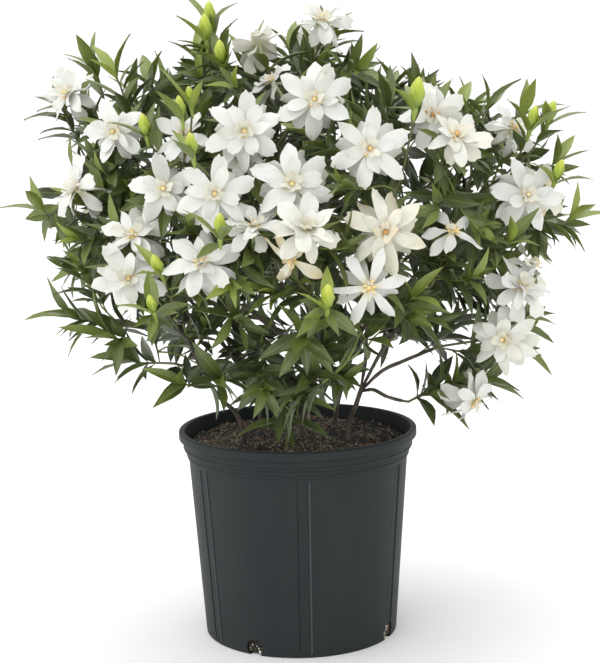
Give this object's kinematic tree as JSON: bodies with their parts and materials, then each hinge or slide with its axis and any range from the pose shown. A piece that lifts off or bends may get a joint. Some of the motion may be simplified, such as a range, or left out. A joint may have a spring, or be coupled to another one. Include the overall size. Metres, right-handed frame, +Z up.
{
  "type": "potted gardenia",
  "caption": "Flowering gardenia bush with double white blooms, buds and glossy leaves, standing in a round fluted nursery pot of dark soil.",
  "frame": {"origin": "centre of the pot's underside, on the ground", "axes": "+Z up along the pot's axis, -Y towards the side seen from the front, +X to the right seen from the front"},
  "size_m": [0.6899, 0.6223, 0.7428],
  "materials": {
    "pot": "matte, moulded",
    "soil": "loose bark and peat mix",
    "bark": "rough bark",
    "foliage": "glossy, waxy",
    "petals": "soft satin"
  },
  "bodies": {
    "root": {"pot": "pot", "soil": "soil", "stem_back_left": "bark", "stem_back_right": "bark", "stem_centre": "bark", "stem_left": "bark", "stem_right": "bark", "spray_back": "foliage", "spray_back_left": "foliage", "spray_back_right": "foliage", "spray_front": "foliage", "spray_front_left": "foliage", "spray_front_low": "foliage", "spray_front_right": "foliage", "spray_left_far": "foliage", "spray_left_front": "foliage", "spray_left_low": "foliage", "spray_left_top": "foliage", "spray_low_shoot": "foliage", "spray_right_far": "foliage", "spray_right_front": "foliage", "spray_right_low": "foliage", "spray_right_side": "foliage", "spray_right_top": "foliage", "spray_top": "foliage", "bloom_01": "petals", "bloom_02": "petals", "bloom_03": "petals", "bloom_04": "petals", "bloom_05": "petals", "bloom_06": "petals", "bloom_07": "petals", "bloom_08": "petals", "bloom_09": "petals", "bloom_10": "petals", "bloom_11": "petals", "bloom_13": "petals", "bloom_14": "petals", "bloom_15": "petals", "bloom_16": "petals", "bloom_17": "petals", "bloom_18": "petals", "bloom_20": "petals", "bloom_21": "petals", "bloom_22": "petals", "bloom_23": "petals", "bloom_25": "petals", "bloom_26": "petals", "bloom_27": "petals", "bloom_28": "petals", "bloom_29": "petals", "bloom_30": "petals", "bloom_31": "petals", "bloom_32": "petals", "bloom_33": "petals", "bloom_34": "petals", "bloom_35": "petals", "bloom_36": "petals", "bloom_37": "petals", "bloom_38": "petals"}
  },
  "joints": []
}
